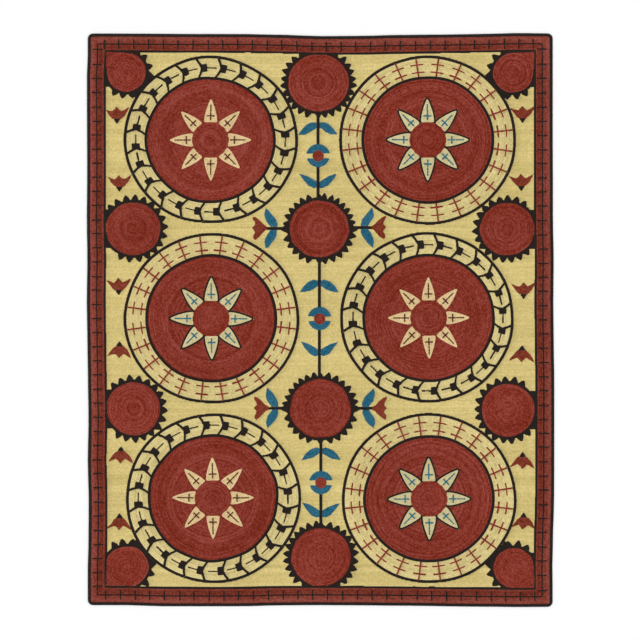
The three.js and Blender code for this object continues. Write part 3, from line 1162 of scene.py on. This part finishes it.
def sunFoot(item):
    # the black that joins a sun to the border's line, or a corner sun to its medallion
    centre, size = np.array(item["middle"], float), np.array(item["size"], float)
    if "corner" in item:
        corner = borderCorner(item)
        reach, deep = cornerSun["foot"]
        back, over = cornerSun["footMeets"]
        shapes = []
        for axis in ((1, 0), (0, 1)):
            along = np.multiply(item["corner"], axis)
            aside = np.subtract(item["corner"], along)
            end = corner - along * reach
            meets = centre + size * (aside * over - along * back)
            shapes.append([corner, end, end - aside * deep, meets, centre])
        facing = wayToMedallion(item)
        wedge = [clockPoint(centre, size, facing + turn, share) for turn, share in cornerSun["wedge"]]
        shapes.append([centre] + wedge)
        return shapes
    if not item["side"]:
        return []
    axis = 1 if item["side"] in ("top", "bottom") else 0
    sign = 1 if item["side"] in ("top", "right") else -1
    edge = sign * (halfSizes[axis] - border[item["side"]]["line"])
    low, high = centre[1 - axis] - sun["footHalf"], centre[1 - axis] + sun["footHalf"]
    shape = np.array([(low, centre[axis]), (low, edge), (high, edge), (high, centre[axis])])
    return [shape if axis else shape[:, ::-1]]


def petalShape(item, degrees):
    out = np.array([math.sin(math.radians(degrees)), math.cos(math.radians(degrees))])
    aside = np.array([out[1], -out[0]])
    centre = np.array(item["disc"], float)
    right = [centre + out * far + aside * half for far, half in medallion["petalHalf"]]
    left = [centre + out * far - aside * half for far, half in medallion["petalHalf"][:-1]]
    return np.array(right + left[::-1])


def bandPoint(item, degrees, share):
    # share runs from 0 on the disc's outline to 1 on the ring's
    inner = clockPoint(item["disc"], item["discSize"], degrees)
    outer = clockPoint(item["ring"], item["ringSize"], degrees)
    return inner + (outer - inner) * share


def bandLeaf(item, degrees):
    # a chevron of two flared arms that meets at a block, with a fine shaft ahead of it, pointing clockwise
    perDegree = sum(item["ringSize"]) / 2 * chevron["radius"] * math.pi / 180

    def armLine(places, shift):
        return [bandPoint(item, degrees - (back + shift) / perDegree, share) for back, share in places]

    arms, armRows = [], []
    for side, start in zip((1, -1), chevron["armStart"]):
        places = [(back, 0.5 + side * off) for back, off in [(start, chevron["armSpread"])] + chevron["arm"]]
        armRows += [armLine(places, shift) for shift in chevron["armRows"]]
        rear, front = armLine(places, chevron["armHalf"]), armLine(places, -chevron["armHalf"])
        arms.append(np.array(rear + front[::-1]))
    half = chevron["blockHalf"] / perDegree
    block = np.array([bandPoint(item, degrees + half * far, share) for far, share in chevron["block"]])
    shaft = [bandPoint(item, degrees + far / perDegree, 0.5) for far in chevron["shaft"]]
    return arms, armRows, block, shaft


def bandComb(item, degrees):
    # a red bar across the band, with two cross ticks
    lines = [[bandPoint(item, degrees, share) for share in comb["bar"]]]
    perDegree = sum(item["ringSize"]) / 2 * math.pi / 180
    for share, radius in comb["ticks"]:
        half = comb["tickHalf"] / (perDegree * radius)
        turns = np.linspace(degrees - half, degrees + half, comb["tickPoints"])
        lines.append([bandPoint(item, turn, share) for turn in turns])
    return lines


def paintBand(item):
    disc, ring = np.array(item["discSize"], float), np.array(item["ringSize"], float)
    half = medallion["outline"] / 2
    paintEllipse(item["ring"], ring + half, "ringLine", item["ringWaves"])
    paintEllipse(item["ring"], ring - half, "band", item["ringWaves"])
    item["marks"] = []             # for each mark its shapes, and its lines with their widths
    for place in range(medallion["marks"]):
        degrees = item["turn"] + place * 360 / medallion["marks"] + wobble(medallion["markTurn"])
        if item["kind"] == "leaves":
            arms, armRows, block, shaft = bandLeaf(item, degrees)
            lines = [(line, medallion["armWidth"]) for line in armRows] + [(shaft, medallion["shaftWidth"])]
            item["marks"].append(([block], lines))
            for shape in arms + [block]:
                paintShape(shape, "bandMark")
            paintMark(shaft, medallion["shaftWidth"], "bandMark")
        else:
            lines = [(line, medallion["barWidth"]) for line in bandComb(item, degrees)]
            item["marks"].append(([], lines))
            for line, width in lines:
                paintMark(line, width, "bandBrick")
    paintEllipse(item["disc"], disc + half, "ringLine", item["discWaves"])
    paintEllipse(item["disc"], disc - half, "disc", item["discWaves"])


def paintStar(item):
    item["petals"] = [petalShape(item, 360 * place / medallion["petals"] + wobble(medallion["petalTurn"]))
                      for place in range(medallion["petals"])]
    if item["kind"] == "combs":
        for shape in item["petals"]:
            paintStroke(shape, 2 * medallion["petalLine"], "petalLine", True)
    for shape in item["petals"]:
        paintShape(shape, "petal")
    item["shafts"] = []
    centre = np.array(item["disc"], float)
    first, last = medallion["shaft"]
    tickAt, tickHalf = medallion["shaftTick"]
    for shape in item["petals"]:
        tip = shape[len(medallion["petalHalf"]) - 1] - centre
        out = tip / np.hypot(*tip)
        aside = np.array([out[1], -out[0]])
        lines = [[centre + out * first, centre + out * (last + chance.uniform(*medallion["shaftEnd"]))],
                 [centre + out * tickAt - aside * tickHalf, centre + out * tickAt + aside * tickHalf]]
        item["shafts"] += lines
        for line in lines:
            paintMark(line, medallion["shaftWidth"], "shaft")
    paintEllipse(item["disc"], medallion["heart"], "disc")


def tickLines():
    lines = []
    half = border["tickLength"] / 2
    for side in sides:
        facts = border[side]
        sign = 1 if side in ("right", "top") else -1
        for place in range(facts["ticks"]):
            at = facts["firstTick"] + place * facts["tickPitch"] + wobble(border["tickStray"])
            low = facts["spine"] - half + wobble(border["tickStray"])
            high = facts["spine"] + half + wobble(border["tickStray"])
            skew = at + wobble(border["tickSkew"])
            if side in ("left", "right"):
                line = [(sign * (halfWidth - low), at), (sign * (halfWidth - high), skew)]
            else:
                line = [(at, sign * (halfLength - low)), (skew, sign * (halfLength - high))]
            lines.append(wander(np.array(line)))
    return lines


for item in suns:
    item["waves"] = makeWaves(sun["waves"])
for item in medallions:
    item["discWaves"] = makeWaves(medallion["discWaves"])
    item["ringWaves"] = makeWaves(medallion["ringWaves"])
stemLines, stemLeaves, roundelHalves, roundelDots = drawStem()
stalkLines, stalkHeads, stalkLeaves = drawSideTulips()
marginHeads, marginTips = drawMarginTulips()
toothShapes = [sunTeeth(item) for item in suns]
for place in sun["flares"]:
    toothShapes[place] += sunFlares(place)
footShapes = [sunFoot(item) for item in suns]

zoneMap[:] = zone["ground"]
for shape in stemLeaves + stalkLeaves:
    paintShape(shape, "leaf")
for line in stemLines + stalkLines:
    paintStroke(line, stem["width"], "stem")
for shape in roundelHalves:
    paintShape(shape, "leaf")
for centre, radii in roundelDots:
    paintEllipse(centre, radii, "roundelDot")
for shape in stalkHeads + marginHeads:
    paintShape(shape, "tulip")
for shape in marginTips:
    paintShape(shape, "tip")
for item, teeth, feet in zip(suns, toothShapes, footShapes):
    for shape in teeth:
        paintShape(shape, "sunBlack")
    for shape in feet:
        paintShape(shape, "sunBlack", ["ground", "sunBlack"])
    paintShape(sunOutline(item, sun["ringWidth"]), "sunBlack")
    paintShape(sunOutline(item), "sunRed")
for item in medallions:
    paintBand(item)
    paintStar(item)

# the border comes last: it is over everything that runs into it
pastLine = pastBorder([border[side]["line"] for side in sides])
pastSpine = pastBorder([border[side]["spine"] for side in sides])
zoneMap[pastLine < 0] = zone["borderRed"]
zoneMap[pastBorder([rug["bindingWidth"]] * 4) < 0] = zone["bare"]
borderTicks = tickLines()
zoneMap[np.abs(pastSpine) < border["spineWidth"] / 2] = zone["borderLine"]
zoneMap[np.abs(pastLine) < border["lineWidth"] / 2] = zone["borderLine"]
for line in borderTicks:
    paintMark(line, border["tickWidth"], "borderLine")
print("zone map filled")


# working the rows

def outset(corners, distance):
    # the same shape, grown all round; its sharp corners grow by no more than about twice that
    corners = np.asarray(corners, float)
    before = corners - np.roll(corners, 1, 0)
    after = np.roll(corners, -1, 0) - corners
    before /= np.maximum(np.hypot(*before.T), 1e-6)[:, None]
    after /= np.maximum(np.hypot(*after.T), 1e-6)[:, None]
    outwards = 1 if signedArea(corners) > 0 else -1
    mean = before + after
    mean /= np.maximum(np.hypot(*mean.T), 1e-6)[:, None]
    aside = np.stack([mean[:, 1], -mean[:, 0]], 1) * outwards
    stretch = np.clip(1 / np.maximum((mean * after).sum(1), 0.3), 1, 2.2)
    return corners + aside * (distance * stretch)[:, None]


ground = {
    # two slow waves that the rows drift in: height, length along a row, length from row to row
    "drift": (3, 310, 280),
    "driftShare": 0.6,         # how much the first wave slides from row to row
    "ripple": (1.5, 90, 700),
}


def workGround():
    # straight rows from side to side; they drift together, as rows worked by hand do
    count = int(rug["length"] / row["pitch"])
    tones = smoothTones(count)
    x = np.arange(-halfWidth, halfWidth, row["sample"])
    drift, driftX, driftY = ground["drift"]
    ripple, rippleX, rippleY = ground["ripple"]
    for place in range(count):
        y = -halfLength + (place + 0.5) * row["pitch"]
        slide = ground["driftShare"] * math.sin(y / driftY)
        off = drift * np.sin(x / driftX + slide) + ripple * np.sin(x / rippleX + y / rippleY)
        sewRow("ground_rows", np.stack([x, y + off], 1), False, "ground", tones[place])


def workBorder():
    def rowsBetween(first, last, trimFirst, trimLast):
        start = np.array([first[side] + trimFirst for side in sides], float)
        end = np.array([last[side] - trimLast for side in sides], float)
        count = round((end - start).mean() / row["pitch"])
        tones = smoothTones(count)
        for place in range(count):
            loop = borderLoop(*(start + (end - start) * (place + 0.5) / count))
            sewRow("border_red_rows", loop, True, "borderRed", tones[place], (end - start).mean() / count)

    edge = {side: border["edgeRow"] + row["pitch"] / 2 for side in sides}
    spine = {side: border[side]["spine"] for side in sides}
    line = {side: border[side]["line"] for side in sides}
    sewRow("border_black_lines", borderLoop(*[border["edgeRow"]] * 4), True)
    rowsBetween(edge, spine, 0, border["spineWidth"] / 2)
    rowsBetween(spine, line, border["spineWidth"] / 2, border["lineWidth"] / 2)
    sewLine("border_black_lines", borderLoop(*spine.values()), border["spineWidth"], True)
    sewLine("border_black_lines", borderLoop(*line.values()), border["lineWidth"], True)
    for tick in borderTicks:
        sewMark("border_black_lines", tick, border["tickWidth"])
    # the loops turn sharply at the corners, so a padding row runs out under each of the four mitres
    for signX, signY in ((1, 1), (-1, 1), (-1, -1), (1, -1)):
        mitre = [(signX * (halfWidth - inset), signY * (halfLength - inset)) for inset in border["mitre"]]
        under = wander(densify(mitre, False, row["sample"]))
        sewRow("border_red_rows", under, pitch=border["mitreRow"], lift=row["padding"])


def workSuns():
    lift = row["shapeLift"]
    for item, teeth, feet in zip(suns, toothShapes, footShapes):
        group = "corner" if "corner" in item else ("side" if item["side"] in ("left", "right") else "middle")
        piece = f"sun_discs_{group}"
        centre, size = item["middle"], np.array(item["size"], float)
        sewRings(piece, centre, centre, (0, 0), size, "sunRed", (), item["waves"])
        if "corner" in item:
            sewRings(piece, centre, centre, size, size * cornerSun["rings"], "sunRed", item["waves"])
            # the rings end along the drop's straight sides, so a lower row runs round under their ends
            inset, drop = cornerSun["underRow"]
            sewLine(piece, sunOutline(item, -inset), row["pitch"], True, None, drop)
        ringMiddle = sunOutline(item, sun["ringWidth"] / 2)
        sewLine("sun_black_rows", ringMiddle, sun["ringWidth"], True, "sunBlack", lift)
        for shape in teeth:
            sewShape("sun_black_rows", outset(shape, sun["toothGrow"]), "sunBlack", lift)
        for shape in feet:
            sewShape("sun_black_rows", shape, "sunBlack")


def workStem():
    lift = row["shapeLift"]
    for line in stemLines + stalkLines:
        sewLine("stem_rows", line, stem["width"], False, "stem", lift)
    for shape in stemLeaves + stalkLeaves + roundelHalves:
        sewShape("blue_leaves", shape, "leaf", lift)
    for centre, radii in roundelDots:
        sewRings("sun_discs_middle", centre, centre, (0, 0), radii, "roundelDot")
    for shape in stalkHeads + marginHeads:
        sewShape("red_tulips", shape, "tulip", lift)
    for shape in marginTips:
        sewShape("stem_rows", shape, "tip", lift)


def workMedallion(item):
    red, cream, black = [f"{item['name']}_{colour}" for colour in ("red", "cream", "black")]
    if item["kind"] == "leaves":
        marks, petals, shafts = black, "star_petals_warm", "star_shafts_brown"
    else:
        marks, petals, shafts = red, "star_petals_pale", "star_shafts_teal"
    discAt, ringAt = item["disc"], item["ring"]
    disc, ring = np.array(item["discSize"], float), np.array(item["ringSize"], float)
    discWaves, ringWaves = item["discWaves"], item["ringWaves"]
    heart = np.array(medallion["heart"], float)
    half = medallion["outline"] / 2
    lift = row["shapeLift"]
    sewRings(red, discAt, discAt, (0, 0), heart, "disc")
    sewRings(red, discAt, discAt, heart, disc - half, "disc", (), discWaves)
    sewRings(black, discAt, discAt, disc - half, disc + half, "ringLine", discWaves, discWaves, lift)
    sewRings(cream, discAt, ringAt, disc + half, ring - half, "band", discWaves, ringWaves)
    sewRings(black, ringAt, ringAt, ring - half, ring + half, "ringLine", ringWaves, ringWaves, lift)
    for shapes, lines in item["marks"]:
        for shape in shapes:
            sewShape(marks, shape, None, lift)
        for line, width in lines:
            sewMark(marks, line, width)
    lineWidth = medallion["petalLine"]
    for shape in item["petals"]:
        sewShape(petals, shape, "petal", lift)
        if item["kind"] == "combs":
            sewLine(black, outset(shape, lineWidth / 2), lineWidth, True, "petalLine", lift)
    for line in item["shafts"]:
        sewMark(shafts, line, medallion["shaftWidth"])


workGround()
workBorder()
workSuns()
workStem()
for item in medallions:
    workMedallion(item)
print(f"{rowCount} rows worked")

finishes = {
    "ground_rows": ("straw", "stitched_wool"),
    "border_red_rows": ("borderBrick", "stitched_wool"),
    "border_black_lines": ("black", "black_wool"),
    "sun_discs_middle": ("brick", "stitched_wool"),
    "sun_discs_side": ("brick", "stitched_wool"),
    "sun_discs_corner": ("brick", "stitched_wool"),
    "sun_black_rows": ("black", "black_wool"),
    "stem_rows": ("black", "black_wool"),
    "blue_leaves": ("blue", "stitched_wool"),
    "red_tulips": ("rust", "stitched_wool"),
    "star_petals_warm": ("warmCream", "stitched_wool"),
    "star_petals_pale": ("paleCream", "stitched_wool"),
    "star_shafts_brown": ("shaft", "stitched_wool"),
    "star_shafts_teal": ("teal", "stitched_wool"),
}
for item in medallions:
    finishes[f"{item['name']}_red"] = ("brick", "stitched_wool")
    finishes[f"{item['name']}_cream"] = ("cream", "stitched_wool")
    finishes[f"{item['name']}_black"] = ("black", "black_wool")
rowPieces = [makeRows(name, wools[wool]) for name, (wool, slot) in finishes.items()]


def startEdit(piece):
    # opens a mesh with all of it selected
    selectNone()
    piece.select_set(True)
    bpy.context.view_layer.objects.active = piece
    bpy.ops.object.mode_set(mode="EDIT")
    bpy.ops.mesh.select_all(action="SELECT")


def makeCanvas():
    # the CAD cloth's own outline and underside, cut off at the canvas's thickness
    canvas = bpy.data.objects.new("cotton_canvas", clothNode.data.copy())
    bpy.context.scene.collection.objects.link(canvas)
    startEdit(canvas)
    bpy.ops.mesh.remove_doubles(threshold=0.05 * mm)
    bpy.ops.mesh.bisect(plane_co=(0, 0, rug["canvasTop"] * mm), plane_no=(0, 0, 1),
                        use_fill=True, clear_outer=True, clear_inner=False)
    bpy.ops.object.mode_set(mode="OBJECT")
    bpy.ops.object.shade_flat()
    canvas.data.materials.clear()
    canvas.data.materials.append(canvasMaterial)
    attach(canvas, "root")
    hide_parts("stitched_cloth")
    return canvas


canvas = makeCanvas()
print("canvas made")


# the overcast edge
edging = {
    "pitch": 4.4,              # from one loop of yarn to the next
    "pitchStray": 0.12,        # of a pitch
    "yarn": 5.2,               # width of a loop, pressed flat
    "yarnStray": 0.05,         # of its width
    "puff": 0.12,              # how much higher or lower a loop stands
    "slant": 2.4,              # how far a loop leans along the edge
    "twist": 1.4,              # turns of the yarn from one step over the edge to the next
    # distance in and height, from the foot inside over the edge and back: the padding, then a loop's crown
    "core": [(10.4, 1.3), (3.4, 1.4), (1.15, 3.2), (1.9, 4.6), (5.6, 5.35), (10.6, 4.7)],
    "crown": [(10.5, 0.15), (2.4, 0.1), (-0.15, 3.2), (0.9, 5.5), (5.6, 6.5), (11.6, 5.6)],
    "coreLengths": 540,
    "lowest": 0.02,            # above the floor
    "folds": 20,               # the OFBake map lays the edge in so many strips
    "stripAlong": (0.004, 0.99),           # start and size of what a strip uses of its own oblong
    "stripAcross": (0.06, 0.86),
    "coreShare": 0.08,         # of a strip's width that the core takes, and where the loops begin
    "loopsFrom": 0.14,
}

edgePath = borderLoop(0, 0, 0, 0, 1.0)
edgePath = np.vstack([edgePath, edgePath[:1]])
edgeAlong = np.r_[0, np.cumsum(np.hypot(*np.diff(edgePath, axis=0).T))]
girth = edgeAlong[-1]


def edgeAt(distance):
    distance = np.mod(distance, girth)
    return np.stack([np.interp(distance, edgeAlong, edgePath[:, axis]) for axis in (0, 1)], 1)


def inwardAt(distance):
    # unit vectors along the edge and in from it
    ahead = edgeAt(distance + 5) - edgeAt(distance - 5)
    ahead /= np.hypot(ahead[:, 0], ahead[:, 1])[:, None]
    return ahead, np.stack([-ahead[:, 1], ahead[:, 0]], 1)


def bakeSpot(distance, share):
    # a place on the OFBake map: along the edge, and a share of the way over it
    strip = distance / girth * edging["folds"]
    fold = np.minimum(np.floor(strip), edging["folds"] - 1)
    start, size = edging["stripAlong"]
    side, width = edging["stripAcross"]
    return np.stack([start + size * (strip - fold), (fold + side + width * share) / edging["folds"]], -1)


def makeCore():
    # the padding along the cloth's cut edge: a ring of short lengths
    lengths, section = edging["coreLengths"], edging["core"]
    width = len(section)
    spots = np.arange(lengths) / lengths * girth
    inward = inwardAt(spots)[1]
    rings = [np.column_stack([edgeAt(spots) + inward * inset, np.full(lengths, height)])
             for inset, height in section]
    verts = np.stack(rings, 1).reshape(-1, 3)
    first = np.arange(lengths) * width
    second = np.mod(first + width, lengths * width)
    ends = (spots, spots + girth / lengths * 0.999)
    quads, stitchMap, bake = [], [], []
    for side in range(width):
        last = (side + 1) % width
        quads.append(np.stack([first + side, second + side, second + last, first + last], 1))
        shares = [(side + up) / width * edging["coreShare"] for up in (0, 1)]
        corners = [bakeSpot(ends[end], shares[up]) for end, up in ((0, 0), (1, 0), (1, 1), (0, 1))]
        # a length that crosses from one strip to the next stays on its own strip
        base = corners[0]
        for corner in corners[1:3]:
            corner[:, 0] = np.where(corner[:, 0] < base[:, 0], sum(edging["stripAlong"]), corner[:, 0])
            corner[:, 1] = base[:, 1] + (corner[:, 1] - base[:, 1]) % (1 / edging["folds"])
        bake.append(np.stack(corners, 1))
        stitchMap.append(np.stack([base] * 4, 1))
    tones = np.zeros(len(verts))
    return verts, np.concatenate(quads), np.concatenate(stitchMap), np.concatenate(bake), tones


def makeLoops(start):
    # the loops of yarn, laid over the core one by one; each is a flat tent of steps three points wide
    count = int(girth / edging["pitch"])
    stray = edging["pitchStray"]
    at = (np.arange(count) + chance.uniform(-stray, stray, count)) * girth / count
    halfYarn = edging["yarn"] * (1 + chance.normal(0, edging["yarnStray"], count)) / 2
    puff = chance.normal(0, edging["puff"], count)
    steps = len(edging["crown"])
    lean = np.linspace(-0.5, 0.5, steps) * edging["slant"]
    verts = np.zeros((count, steps, 3, 3))
    for step, ((coreIn, coreUp), (crownIn, crownUp)) in enumerate(zip(edging["core"], edging["crown"])):
        ahead, inward = inwardAt(at + lean[step])
        base = edgeAt(at + lean[step]) + inward * coreIn
        crown = edgeAt(at + lean[step]) + inward * crownIn
        top = crownUp + puff * (step > 1)
        if step in (0, steps - 1):
            top = (top + coreUp) / 2
        verts[:, step, 0] = np.column_stack([base - ahead * halfYarn[:, None], np.full(count, coreUp)])
        verts[:, step, 1] = np.column_stack([crown, top])
        verts[:, step, 2] = np.column_stack([base + ahead * halfYarn[:, None], np.full(count, coreUp)])
    verts[..., 2] = np.maximum(verts[..., 2], edging["lowest"])
    tones = np.repeat(chance.normal(0, 1, count), steps * 3)

    first = start + np.arange(count) * steps * 3
    places = [np.clip(at + offset, 0, girth - 1) for offset in (-halfYarn, 0 * halfYarn, halfYarn)]
    shares = edging["loopsFrom"] + (1 - edging["loopsFrom"]) * np.arange(steps) / (steps - 1)
    quads, stitchMap, bake = [], [], []
    for step in range(steps - 1):
        here, there = first + step * 3, first + (step + 1) * 3
        for side, last in ((0, 1), (1, 2), (2, 0)):
            quads.append(np.stack([here + side, there + side, there + last, here + last], 1))
            around = ((side, step), (side, step + 1), (last, step + 1), (last, step))
            corners = [bakeSpot(places[line], shares[level]) for line, level in around]
            for corner in corners[1:]:
                jump = np.abs(corner[:, 0] - corners[0][:, 0]) > 0.5
                corner[jump] = corners[0][jump] + 0.001
            bake.append(np.stack(corners, 1))
            begin = chance.uniform(0, 9, count)
            yarn = [(begin + level * edging["twist"], np.full(count, line / 2)) for line, level in around]
            stitchMap.append(np.stack([np.column_stack(spot) for spot in yarn], 1))
    print(f"edge_overcast: {count} loops")
    return verts.reshape(-1, 3), np.concatenate(quads), np.concatenate(stitchMap), np.concatenate(bake), tones


def makeEdging():
    core = makeCore()
    loops = makeLoops(len(core[0]))
    verts, quads, stitchMap, bake, tones = [np.concatenate(item) for item in zip(core, loops)]
    hidden = np.zeros(len(quads), bool)
    piece = meshFrom("edge_overcast", verts, quads, stitchMap, hidden, tones, bake)
    # the loops' open ends are closed, and all faces turned outwards
    startEdit(piece)
    bpy.ops.mesh.select_non_manifold(extend=False)
    bpy.ops.mesh.edge_face_add()
    bpy.ops.mesh.select_all(action="SELECT")
    bpy.ops.mesh.normals_make_consistent(inside=False)
    bpy.ops.object.mode_set(mode="OBJECT")
    piece.data.materials.append(edgeMaterial)
    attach(piece, "root")
    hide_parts("edge_binding")
    return piece


edgePiece = makeEdging()
print("overcast edge made")

triangles = 0
for item in rowPieces + [edgePiece, canvas]:
    triangles += sum(len(face.vertices) - 2 for face in item.data.polygons)
print(f"{triangles} triangles in all")
